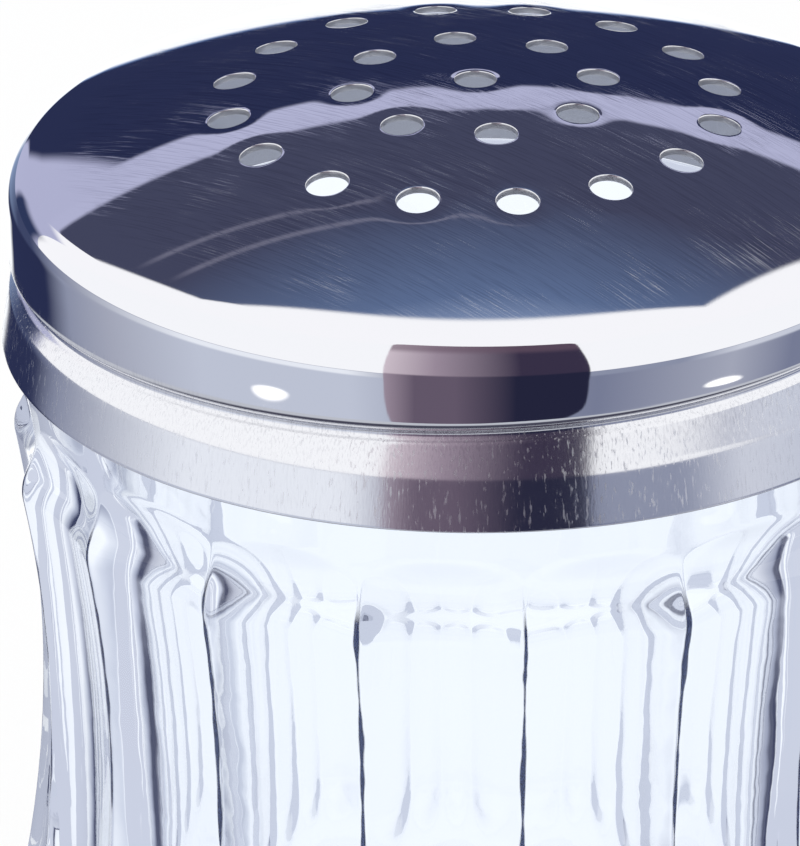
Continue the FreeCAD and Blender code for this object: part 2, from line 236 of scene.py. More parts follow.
@dataclass
class GlassJar:
    """The pressed glass jar: a turned outline with flutes, a threaded neck and a rounded cavity."""

    waist: Point = (34.2, 51.0)
    waist_curve: float = 105.0
    belly_radius: float = 38.0
    belly_curve: float = 26.0
    bulge_radius: float = 35.9
    bulge_curve: float = 4.0
    collar_radius: float = 34.45
    collar_curve: float = 4.0
    collar_height: float = 80.6
    collar_rounding: float = 0.6
    neck_radius: float = 33.2
    rim_height: float = 93.48
    rim_rounding: float = 1.1
    mouth_radius: float = 28.6
    floor_radius: float = 27.4
    floor_height: float = 9.6
    floor_rounding: float = 9.0
    foot_inner_radius: float = 26.0
    punt_radius: float = 22.0
    punt_rise: float = 1.6
    toe_rounding: float = 0.7
    axis_gap: float = 0.5
    heel_rounding: float = 2.2
    flute_count: int = 18
    flute_depth: float = 1.76
    flute_curve: float = 16.0
    flute_top_turn: float = 25.0
    flute_top_curve: float = 3.5
    flute_end: float = 9.0
    flute_foot: float = 12.0
    turn: float = 6.1
    ridge_rounding: float = 0.24
    arch_rounding: float = 1.3
    bead_height: float = 0.5
    bead_curve: float = 1.5
    bead_rise: float = 2.2
    columns_per_flute: int = 24
    ridge_crowding: float = 0.78
    thread: Thread = field(default_factory=Thread)

    def __post_init__(self) -> None:
        """Work out the centres of the outline's arcs, each tangent to its neighbour."""
        self.waist_centre = (self.waist[0] + self.waist_curve, self.waist[1])
        self.belly_centre = self.tangent_centre(self.belly_radius, self.belly_curve, -1)
        self.bulge_centre = self.tangent_centre(self.bulge_radius, self.bulge_curve, 1)
        across = self.collar_radius + self.collar_curve
        reach = self.bulge_curve + self.collar_curve
        rise = math.sqrt(reach**2 - (across - self.bulge_centre[0]) ** 2)
        self.collar_centre = (across, self.bulge_centre[1] + rise)

    def tangent_centre(self, widest: float, curve: float, side: int) -> Point:
        """Return the centre of an arc that touches the waist's.

        Args:
            widest: the arc's greatest distance from the axis.
            curve: the arc's radius.
            side: 1 for an arc above the waist, -1 for one below it.
        Returns:
            The centre as (r, z).
        """
        across = widest - curve
        reach = self.waist_curve + curve
        rise = math.sqrt(reach**2 - (self.waist_centre[0] - across) ** 2)
        return (across, self.waist[1] + side * rise)

    def outline(self) -> np.ndarray:
        """Return the half section of the glass without flutes and thread.

        It runs from the punt round the outside, over the rim and down the inside to the floor, as arcs
        and lines that meet in common tangents.
        """
        belly, bulge = self.belly_centre, self.bulge_centre
        collar, waist = self.collar_centre, self.waist_centre
        heel_reach = self.belly_curve - self.heel_rounding
        heel_away = math.sqrt(heel_reach**2 - (belly[1] - self.heel_rounding) ** 2)
        heel = (belly[0] + heel_away, self.heel_rounding)
        low = lean(belly, heel)
        toe, turned = self.toe_rounding, self.collar_rounding
        step = self.collar_radius - self.neck_radius
        rim, rounding = self.rim_height, self.rim_rounding
        draft = (self.mouth_radius - self.floor_radius) / (rim - self.floor_height)
        bore = self.floor_radius - self.floor_rounding
        floor = (bore, self.floor_height + self.floor_rounding)
        wall = self.floor_radius + draft * self.floor_rounding
        return chain([
            line((self.axis_gap, self.punt_rise), (self.punt_radius, self.punt_rise), 4),
            line((self.punt_radius, self.punt_rise), (self.foot_inner_radius - 0.6, 0.18), 5),
            arc((self.foot_inner_radius, toe), toe, 235, 270, 4),
            line((self.foot_inner_radius + 0.3, 0), (heel[0], 0), 3),
            arc(heel, self.heel_rounding, -90, low, 7),
            arc(belly, self.belly_curve, low, lean(belly, waist), 44),
            arc(waist, self.waist_curve, 180 + lean(belly, waist), 180, 15),
            arc(waist, self.waist_curve, 180, lean(waist, bulge) % 360, 16),
            arc(bulge, self.bulge_curve, lean(bulge, waist), lean(bulge, collar), 18),
            arc(collar, self.collar_curve, 180 + lean(bulge, collar), 180, 9),
            line((self.collar_radius, collar[1] + 0.3), (self.collar_radius, collar[1] + 2.1), 7),
            line((self.collar_radius, collar[1] + 2.6),
                 (self.collar_radius, self.collar_height - turned), 4),
            arc((self.collar_radius - turned, self.collar_height - turned), turned, 0, 60, 4),
            arc((self.neck_radius + turned, self.collar_height + step), turned, 240, 180, 4),
            line((self.neck_radius, self.collar_height + step),
                 (self.neck_radius, rim - rounding), 30),
            arc((self.neck_radius - rounding, rim - rounding), rounding, 0, 90, 7),
            arc((self.mouth_radius + rounding, rim - rounding), rounding, 90, 180, 7),
            line((self.mouth_radius, rim - rounding), (wall, floor[1]), 8),
            arc(floor, self.floor_rounding, 0, -90, 12),
            line((bore, self.floor_height), (self.axis_gap, self.floor_height), 5),
        ])

    def angles(self) -> np.ndarray:
        """Return the angle of each column in degrees, crowded towards the ridges between flutes.

        In each flute the angle is s plus a share of sin(pi s) / pi, for s from -1 to 1 across it.
        """
        share = np.linspace(-1, 1, self.columns_per_flute, endpoint=False)
        half = 180 / self.flute_count
        local = half * (share + self.ridge_crowding * np.sin(np.pi * share) / np.pi)
        return (np.arange(self.flute_count)[:, None] * 2 * half + local).ravel() + self.turn

    def flute_path(self, height: np.ndarray) -> np.ndarray:
        """Return how far a flute's bottom lies from the axis at each height.

        Below the shoulder it is the waist's arc moved in by the flute's depth, then the shoulder's arc
        moved in as much, and above that an arc that turns outward.  Past its ends it is far outside.
        """
        depth, turn = self.flute_depth, math.radians(self.flute_top_turn)
        waist = (self.waist_centre[0] - depth, self.waist_centre[1])
        bulge = (self.bulge_centre[0] - depth, self.bulge_centre[1])
        reach = self.bulge_curve + self.flute_top_curve
        away = (bulge[0] + reach * math.cos(turn), bulge[1] + reach * math.sin(turn))

        def sag(radius: float, level: float) -> np.ndarray:
            """Return the level half chord of a circle at each height."""
            return np.sqrt(np.clip(radius**2 - (height - level) ** 2, 0, None))

        join = waist[1] + self.waist_curve * math.sin(math.radians(180 - lean(waist, bulge)))
        bend = bulge[1] + self.bulge_curve * math.sin(turn)
        path = np.where(height < join, waist[0] - sag(self.waist_curve, waist[1]),
                        bulge[0] + sag(self.bulge_curve, bulge[1]))
        path = np.where(height > bend, away[0] - sag(self.flute_top_curve, away[1]), path)
        past = height > away[1] + 0.98 * self.flute_top_curve
        return np.where(past, path + self.flute_end, path)

    def surface(self) -> np.ndarray:
        """Return the glass surface as a grid of points, one row for each point of the outline.

        A flute is the near side of a level circle: r = c cos(a) - sqrt(R^2 - (c sin(a))^2), where a
        is the angle from the flute's middle.  Neighbouring flutes meet in a rounded ridge, and the
        outline and the flutes meet in rounded arches.  The thread is a bead added to the neck.
        """
        outline = self.outline()
        angle = self.angles()[None, :]
        radius, height = outline[:, :1], outline[:, 1:]
        outside = np.arange(len(outline))[:, None] < int(np.argmax(outline[:, 1]))
        pitch = 360 / self.flute_count
        centre = self.flute_path(height) + self.flute_curve
        local = np.abs((angle - self.turn + pitch / 2) % pitch - pitch / 2)

        def cutter(away: np.ndarray) -> np.ndarray:
            """Return the distance of the cutting circle's near side."""
            turn = np.radians(away)
            under = np.clip(self.flute_curve**2 - (centre * np.sin(turn)) ** 2, 0, None)
            return centre * np.cos(turn) - np.sqrt(under)

        flute = smooth_min(cutter(local), cutter(pitch - local), self.ridge_rounding)
        fluted = smooth_min(flute, np.broadcast_to(radius, flute.shape), self.arch_rounding)
        use = outside & (height > self.flute_foot) & (height < self.collar_height - 1)
        full = np.where(use, fluted, radius)
        over, along = self.thread.offset(angle, height, self.bead_rise)
        bead = np.clip(self.bead_height - over**2 / (2 * self.bead_curve), 0, None) * along
        neck = outside & (height > self.collar_height + 1) & (height < self.rim_height - 0.5)
        full = full + np.where(neck, bead, 0)
        return turned_points(full, angle, height)

    def build(self, finish: "GlassFinish") -> bpy.types.Object:
        """Build the jar and give it its finish."""
        grid = self.surface()
        rows, columns = grid.shape[:2]
        faces = grid_faces(rows, columns).tolist()
        faces += [list(range(columns)), list(range((rows - 1) * columns, rows * columns))]
        jar = mesh_object("fluted_glass_jar", grid.reshape(-1, 3), faces, Body.JAR)
        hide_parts("glass_jar")
        jar.data.materials.append(finish.material())
        return jar


@dataclass
class ScrewLid:
    """The stamped lid: a perforated dome, a shoulder, a band with a rolled thread and a skirt."""

    height: float = 100.0
    gauge: float = 0.5
    dome_curve: float = 92.0
    shoulder: float = 2.6
    band_radius: float = 35.3
    skirt_top: float = 83.9
    skirt_bottom: float = 79.7
    skirt_radius: float = 35.99
    edge_break: float = 0.08
    hole_radius: float = 1.58
    dimple_depth: float = 0.055
    dimple_reach: float = 3.3
    rings: tuple[tuple[int, float, float, float], ...] = ((8, 9.36, 6.0, 12.7), (16, 18.7, 15.4, 22.0))
    turn: float = 9.6
    columns: int = 288
    radial_steps: int = 10
    plain_steps: int = 4
    barrel_height: float = 89.4
    barrel_curve: float = 60.0
    barrel_foot: float = 88.0
    barrel_fade: float = 0.8
    skirt_depths: tuple[float, ...] = (0.0, 0.15, 0.45, 2.0, 4.2)
    skirt_slopes: tuple[float, ...] = (14.0, 13.0, 7.6, 7.6, 7.6)
    shelf_gap: float = 0.3
    shelf_depth: float = 0.72
    lip_height: float = 1.25
    groove_depth: float = 0.3
    groove_width: float = 0.6
    groove_rounding: float = 0.1
    most_drift: float = 1.15
    drift_foot: Point = (83.9, 86.1)
    drift_top: Point = (87.3, 89.2)
    relief_top: Point = (90.0, 90.8)
    thread: Thread = field(default_factory=Thread)

    def __post_init__(self) -> None:
        """Work out the centres of dome and shoulder, and where the shoulder runs into the band."""
        self.level = self.height - self.dome_curve
        across = self.band_radius - self.shoulder
        rise = math.sqrt((self.dome_curve - self.shoulder) ** 2 - across**2)
        self.shoulder_centre = (across, self.level + rise)
        over = self.shoulder_centre[1] - self.barrel_height
        self.band_tilt = math.atan(over / (self.barrel_curve - self.shoulder))

    def dome(self, places: np.ndarray, inset: float) -> np.ndarray:
        """Lift level places onto the dome.

        Args:
            places: the places, one row of (x, y) each.
            inset: how far the face lies under the sheet's upper one.
        Returns:
            The points: the sphere's height over each place, less the dimples' depth there.
        """
        sphere = np.sqrt((self.dome_curve - inset) ** 2 - (places**2).sum(axis=-1))
        height = self.level + sphere - self.dimples(places)
        return np.concatenate([places, height[..., None]], axis=-1)

    def dimples(self, places: np.ndarray) -> np.ndarray:
        """Return how far the punch has drawn the sheet down at each level place.

        Round each hole it is a bell of its distance d, depth times (1 - (d / reach)^2)^2, and nought
        beyond its reach.
        """
        middles = [np.zeros((1, 2))]
        for count, reach, _, _ in self.rings:
            turn = np.radians(self.turn + np.arange(count) * 360 / count)
            middles.append(reach * np.stack([np.cos(turn), np.sin(turn)], axis=1))
        away = ((places[..., None, :] - np.concatenate(middles)) ** 2).sum(axis=-1)
        return self.dimple_depth * (np.clip(1 - away / self.dimple_reach**2, 0, 1) ** 2).sum(axis=-1)

    def hole_rim(self) -> tuple[np.ndarray, np.ndarray]:
        """Return a hole's rounded edge, from the face inward: how far it is wider, and how far down.

        It is a quarter circle: size times (1 - sin) and size times (1 - cos) of 30, 60 and 90 degrees.
        """
        turn = np.radians([30, 60, 90])
        return self.edge_break * (1 - np.sin(turn)), self.edge_break * (1 - np.cos(turn))

    def sheet_rows(self, inner: np.ndarray, outer: np.ndarray, steps: int) -> np.ndarray:
        """Return the level rows between a hole's edge and the outline round it, crowded at the edge.

        Each row is a blend of the two closed lines, by its share of the way to the power 1.5.
        """
        share = np.linspace(0, 1, steps)[:, None, None] ** 1.5
        return (1 - share) * inner + share * outer

    def patch(self, middle: np.ndarray, outline: np.ndarray, steps: int) -> tuple[np.ndarray, list]:
        """Make the sheet round one hole: its upper face, the hole's wall and its lower face.

        Args:
            middle: the hole's centre, level.
            outline: the closed line that bounds the patch, level.
            steps: the rows between the hole and the outline.
        Returns:
            Points, and the quads that join them.
        """
        away = outline - middle
        compass = away / np.linalg.norm(away, axis=1)[:, None]
        wide, drop = self.hole_rim()
        edge = middle + compass * (self.hole_radius + self.edge_break)
        face = self.sheet_rows(edge, outline, steps)[::-1]
        rims = [middle + compass * (self.hole_radius + extra) for extra in wide]
        upper = [self.dome(row, 0) for row in face]
        rounded = [self.dome(row, 0) - [0, 0, depth] for row, depth in zip(rims, drop)]
        under = [self.dome(row, self.gauge) + [0, 0, depth] for row, depth in zip(rims, drop)]
        lower = [self.dome(row, self.gauge) for row in face[::-1]]
        rows = np.stack(upper + rounded + under[::-1] + lower)
        return rows.reshape(-1, 3), grid_faces(len(rows), len(outline)).tolist()

    def sector_outline(self, ring: tuple, index: int) -> tuple[np.ndarray, np.ndarray]:
        """Return a hole's centre and the outline of its sector of the ring.

        The outline runs along the outer arc, in along one side, back along the inner arc and out.
        """
        count, reach, near, far = ring
        half = 180 / count
        middle = self.turn + 2 * half * index
        across, steps = self.columns // count, self.radial_steps
        arc_turn = np.linspace(-half, half, across + 1)
        side = np.linspace(far, near, steps + 1)
        turn = np.concatenate([arc_turn[:-1], np.full(steps, half), arc_turn[:0:-1],
                               np.full(steps, -half)])
        span = np.concatenate([np.full(across, far), side[:-1], np.full(across, near), side[:0:-1]])
        angle, bearing = np.radians(middle + turn), math.radians(middle)
        outline = np.stack([span * np.cos(angle), span * np.sin(angle)], axis=1)
        return reach * np.array([math.cos(bearing), math.sin(bearing)]), outline

    def bearings(self) -> np.ndarray:
        """Return the angle of each column in degrees, from the edge of the first outer sector."""
        return self.turn - 180 / self.rings[1][0] + np.arange(self.columns) * 360 / self.columns

    def compass(self) -> np.ndarray:
        """Return the level unit directions of the columns."""
        angle = np.radians(self.bearings())
        return np.stack([np.cos(angle), np.sin(angle)], axis=1)

    def plain_ring(self, inset: float) -> tuple[np.ndarray, list]:
        """Make one face of the plain sheet between the two rings of holes."""
        places = np.linspace(self.rings[0][3], self.rings[1][2], self.plain_steps)
        rows = self.dome(places[:, None, None] * self.compass(), inset)
        return rows.reshape(-1, 3), grid_faces(self.plain_steps, self.columns).tolist()

    def side(self, inset: float) -> np.ndarray:
        """Return the band and the skirt in half section, from the shoulder to above the cut edge.

        The band is very slightly barrel-shaped: its slope is its height under the barrel's middle over
        the barrel's curve, and it fades to nought at the barrel's foot.  The skirt's slope follows its
        depth by a short table.  The reach of both is the slope summed up.
        """
        top = self.shoulder_centre[1] + (self.shoulder - inset) * math.sin(self.band_tilt)
        start = self.shoulder_centre[0] + (self.shoulder - inset) * math.cos(self.band_tilt)
        fine = 1 if inset else 2
        band = np.concatenate([
            np.linspace(top, 88.2, 8 * fine), np.linspace(88.1, 87.6, 2 * fine),
            np.linspace(87.5, 85.9, 15 * fine), np.linspace(85.7, self.skirt_top, 6 * fine),
        ])
        slope = (band - self.barrel_height) / self.barrel_curve
        slope *= fade(band, self.barrel_foot - self.barrel_fade, self.barrel_foot)
        reach = start + self.summed(slope, -np.diff(band))
        depth = np.linspace(0, self.skirt_top - self.skirt_bottom - self.edge_break, 11 * fine)
        angle = np.radians(np.interp(depth, self.skirt_depths, self.skirt_slopes))
        flare = self.summed(np.tan(angle), np.diff(depth))
        flare *= (self.skirt_radius - inset - reach[-1]) / flare[-1]
        reach = np.concatenate([reach, reach[-1] + flare[1:]])
        return np.stack([reach, np.concatenate([band, self.skirt_top - depth[1:]])], axis=1)

    @staticmethod
    def summed(slope: np.ndarray, steps: np.ndarray) -> np.ndarray:
        """Return the running sum of a slope: the mean slope of each step times its length."""
        return np.concatenate([[0], np.cumsum((slope[1:] + slope[:-1]) / 2 * steps)])

    def wall_profile(self, inset: float) -> np.ndarray:
        """Return the half section of one face, from the last ring of holes to the cut edge.

        Args:
            inset: 0 for the outer face and the sheet's gauge for the inner one.
        Returns:
            The points as rows of (r, z).
        """
        dome, sphere = (0, self.level), self.dome_curve - inset
        tilt, upright = lean(dome, self.shoulder_centre), math.degrees(self.band_tilt)
        first = math.degrees(math.acos(self.rings[1][3] / sphere))
        fine = 1 if inset else 2
        low = self.edge_break
        middle = (self.skirt_radius - inset + (low if inset else -low), self.skirt_bottom + low)
        return chain([
            arc(dome, sphere, first, tilt, 6 * fine),
            arc(self.shoulder_centre, self.shoulder - inset, tilt, upright, 8 * fine),
            self.side(inset),
            arc(middle, low, 180 if inset else 0, 270 if inset else -90, 4),
        ])

    def wall(self) -> tuple[np.ndarray, list]:
        """Make the shoulder, band and skirt as one sheet, outer face down and inner face up.

        The rolled thread moves both faces in, by the height h over its middle line.  Under the line the
        wall slopes in evenly from the skirt's top to the shelf's depth, just under the groove.  A groove
        with a round bottom, of depth (1 - (h / width)^2), follows the line itself.  The rows near the
        line drift up and down with it.
        """
        profile = np.concatenate([self.wall_profile(0), self.wall_profile(self.gauge)[::-1]])
        angle = self.bearings()[None, :]
        radius, height = profile[:, :1], profile[:, 1:]
        over, _ = self.thread.offset(angle, height, 0)
        rise = height - over - self.thread.foot - self.thread.turns / 2 * self.thread.pitch
        near = fade(height, *self.drift_foot) * (1 - fade(height, *self.drift_top))
        height = height + np.clip(rise, -self.most_drift, self.most_drift) * near
        over, along = self.thread.offset(angle, height, 0)
        reach = height - self.skirt_top
        share = np.clip(reach / np.clip(reach - over - self.shelf_gap, 0.3, None), 0, 1)
        shelf = self.shelf_depth * share * (1 - fade(over, 0.1, self.lip_height))
        groove = self.groove_depth * (1 - (over / self.groove_width) ** 2)
        groove = -smooth_min(-groove, np.zeros_like(groove), self.groove_rounding)
        full = radius - (shelf + groove) * along * (1 - fade(height, *self.relief_top))
        points = turned_points(full, angle, height)
        return points.reshape(-1, 3), grid_faces(len(profile), self.columns).tolist()

    def build(self, finish: "SteelFinish") -> bpy.types.Object:
        """Build the lid as one closed sheet and give it its finish."""
        parts = [self.patch(np.zeros(2), self.compass() * self.rings[0][2], 6)]
        for ring in self.rings:
            parts += [self.patch(*self.sector_outline(ring, index), 7) for index in range(ring[0])]
        parts += [self.plain_ring(0), self.plain_ring(self.gauge), self.wall()]
        points, faces, count = [], [], 0
        for some, quads in parts:
            points.append(some)
            faces += (np.array(quads) + count).tolist()
            count += len(some)
        lid = mesh_object("perforated_steel_lid", np.concatenate(points), faces, Body.LID)
        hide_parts("perforated_lid")
        lid.data.materials.append(finish.material())
        lid.data.materials.append(finish.raw_material())
        self.mark_raw_faces(lid.data)
        return lid

    def mark_raw_faces(self, mesh: bpy.types.Mesh) -> None:
        """Give the raw finish to the sheet's inner face and its cut edges.

        These are the faces whose normal turns away from the sheet's outward direction: straight up on
        the dome, and away from the shoulder's circle beyond it.
        """
        count = len(mesh.polygons)
        normals, middles = np.empty(count * 3), np.empty(count * 3)
        mesh.polygons.foreach_get("normal", normals)
        mesh.polygons.foreach_get("center", middles)
        normals, middles = normals.reshape(-1, 3), middles.reshape(-1, 3) / MM
        reach = np.hypot(middles[:, 0], middles[:, 1])
        beyond = np.clip(reach - self.shoulder_centre[0], 0, None)
        over = np.where(beyond > 0, np.clip(middles[:, 2] - self.shoulder_centre[1], 0, None), 1)
        across = (normals[:, :2] * middles[:, :2]).sum(axis=1) / np.clip(reach, 1e-6, None)
        facing = (across * beyond + normals[:, 2] * over) / np.hypot(beyond, over)
        mesh.polygons.foreach_set("material_index", (facing < 0.5).astype(np.int32))


class NodeSheet:
    """A node tree that is filled by short calls."""

    def __init__(self, owner: bpy.types.ID) -> None:
        """Take over the owner's node tree and empty it."""
        owner.use_nodes = True
        self.tree = owner.node_tree
        self.tree.nodes.clear()

    def put(self, socket: Socket, value: object) -> None:
        """Link a socket to another one, or set its value."""
        if isinstance(value, Socket):
            self.tree.links.new(value, socket)
        else:
            socket.default_value = value

    def node(self, kind: str, settings: dict | None = None, **inputs: object) -> bpy.types.Node:
        """Add a node.

        Args:
            kind: the node's type name after "ShaderNode".
            settings: attributes of the node.
            inputs: values or links by input name, with _ for a blank, or in0, in1 by number.
        Returns:
            The node.
        """
        node = self.tree.nodes.new("ShaderNode" + kind)
        for name, value in (settings or {}).items():
            setattr(node, name, value)
        for name, value in inputs.items():
            by_number = name[:2] == "in" and name[2:].isdigit()
            self.put(node.inputs[int(name[2:]) if by_number else name.replace("_", " ")], value)
        return node

    def math(self, operation: str, *values: object) -> Socket:
        """Add a maths node and return its result."""
        inputs = {f"in{number}": value for number, value in enumerate(values)}
        return self.node("Math", {"operation": operation}, **inputs).outputs[0]

    def times(self, *values: object) -> Socket:
        """Multiply two or more values."""
        return reduce(lambda first, second: self.math("MULTIPLY", first, second), values)

    def plus(self, first: object, second: object) -> Socket:
        """Add two values."""
        return self.math("ADD", first, second)

    def minus(self, first: object, second: object) -> Socket:
        """Take the second value from the first."""
        return self.math("SUBTRACT", first, second)

    def scaled(self, value: Socket, scale: float, shift: object) -> Socket:
        """Multiply a value by a scale and add a shift."""
        return self.math("MULTIPLY_ADD", value, scale, shift)

    def size(self, value: Socket) -> Socket:
        """Return a value without its sign."""
        return self.math("ABSOLUTE", value)

    def ease(self, value: Socket, start: float, end: float) -> Socket:
        """Return 0 at start and 1 at end with a smooth step between."""
        node = self.node("MapRange", {"interpolation_type": "SMOOTHSTEP"},
                         Value=value, From_Min=start, From_Max=end)
        return node.outputs["Result"]

    def near(self, value: Socket, reach: float) -> Socket:
        """Return 1 where a value is nought, falling evenly to 0 where its size is the reach."""
        return self.minus(1.0, self.math("MINIMUM", self.times(self.size(value), 1 / reach), 1.0))

    def mix(self, share: object, first: object, second: object) -> Socket:
        """Blend two colours."""
        node = self.node("Mix", {"data_type": "RGBA"}, in0=share, in6=first, in7=second)
        return node.outputs[2]

    def ramp(self, value: Socket, stops: Stops) -> Socket:
        """Turn a value into a colour.

        Args:
            value: the value.
            stops: pairs of a value and its tone, in rising order.
        Returns:
            The colour, even between the stops.
        """
        low, high = stops[0][0], stops[-1][0]
        share = self.node("MapRange", Value=value, From_Min=low, From_Max=high).outputs["Result"]
        node = self.node("ValToRGB", Fac=share)
        elements = node.color_ramp.elements
        while len(elements) < len(stops):
            elements.new(0.5)
        for element, (place, tone) in zip(elements, stops):
            element.position = (place - low) / (high - low)
            element.color = linear(*tone.value)
        return node.outputs["Color"]

    def streaks(self, place: Socket, size: Span, turn: float = 0.0) -> Socket:
        """Return noise that is drawn out into fine lines.

        Args:
            place: object coordinates.
            size: length of the noise along each axis in metres.
            turn: direction of the lines in degrees.
        Returns:
            The noise, about 0.5.
        """
        drawn = self.node("Mapping", {"vector_type": "TEXTURE"}, Vector=place,
                          Rotation=(0, 0, math.radians(turn)), Scale=size)
        return self.node("TexNoise", Vector=drawn.outputs[0], Scale=1.0, Detail=2.0).outputs[0]

    def mixed(self, share: object, first: bpy.types.Node, second: bpy.types.Node) -> bpy.types.Node:
        """Blend two shaders."""
        return self.node("MixShader", Fac=share, in1=first.outputs[0], in2=second.outputs[0])


@dataclass(frozen=True)
class GlassFinish:
    """Clear pressed glass with faint waves from the mould, and painted refraction: dark lines along its
    ridges.

    Lengths are in metres and angles in degrees.
    """

    tint: Colour = (0.975, 0.99, 1.0, 1.0)
    index: float = 1.5
    wave: float = 260.0
    wave_depth: float = 0.00004
    deepest: float = 4.5
    inner_glow: Colour = (0.60, 0.64, 0.77, 1.0)
    # Painted refraction: the near-black colour of the ridge lines, standing for dark surroundings that
    # the ridges refract.
    line_colour: Colour = (0.003, 0.005, 0.02, 1.0)
    line_size: Span = (0.0016, 0.0016, 0.006)
    line_width: float = 1.3
    line_start: float = 0.3
    line_edge: float = 0.2
    line_top: Point = (0.0735, 0.0715)
    line_foot: Point = (0.028, 0.048)
    flute_turn: float = 6.1
    half_flute: float = 10.0

    def ridge_lines(self, sheet: NodeSheet, place: Socket, depth: Socket) -> Socket:
        """Return where the painted refraction lies: the dark lines along the ridges between flutes.

        They are painted refraction, standing for the dark surroundings that a ridge squeezes into a thin
        line.  Their width follows noise, they fade out under the arches and towards the belly, and only
        what first meets the glass sees them.

        Args:
            sheet: the node tree.
            place: object coordinates.
            depth: how many surfaces were met before.
        Returns:
            0 off the lines and 1 on them.
        """
        parts = sheet.node("SeparateXYZ", Vector=place).outputs
        angle = sheet.times(sheet.math("ARCTAN2", parts["Y"], parts["X"]), math.degrees(1))
        away = sheet.math("PINGPONG", sheet.minus(angle, self.flute_turn), self.half_flute)
        noise = sheet.streaks(place, self.line_size)
        edge = sheet.scaled(noise, -self.line_width, self.half_flute + self.line_start)
        crest = sheet.ease(sheet.minus(away, edge), 0.0, self.line_edge)
        below, above = sheet.ease(parts["Z"], *self.line_top), sheet.ease(parts["Z"], *self.line_foot)
        return sheet.times(crest, below, above, sheet.math("LESS_THAN", depth, 0.5))

    def material(self) -> bpy.types.Material:
        """Return the glass as a node material on object coordinates."""
        material = bpy.data.materials.new("clear_pressed_glass")
        sheet = NodeSheet(material)
        place = sheet.node("TexCoord").outputs["Object"]
        depth = sheet.node("LightPath").outputs["Ray Depth"]
        waves = sheet.node("TexNoise", Vector=place, Scale=self.wave, Detail=1.5)
        bump = sheet.node("Bump", Strength=1.0, Distance=self.wave_depth, Height=waves.outputs[0])
        # Painted refraction: on first hits the ridge lines turn the glass near-black, standing for dark
        # surroundings that the ridges refract.
        colour = sheet.mix(self.ridge_lines(sheet, place, depth), self.tint, self.line_colour)
        shader = sheet.node("BsdfPrincipled", Base_Color=colour, Roughness=0.0, IOR=self.index,
                            Transmission_Weight=1.0, Normal=bump.outputs[0])
        glow = sheet.node("Emission", Color=self.inner_glow, Strength=1.0)
        glass = sheet.mixed(sheet.math("GREATER_THAN", depth, self.deepest), shader, glow)
        sheet.node("OutputMaterial", Surface=glass.outputs[0])
        return material


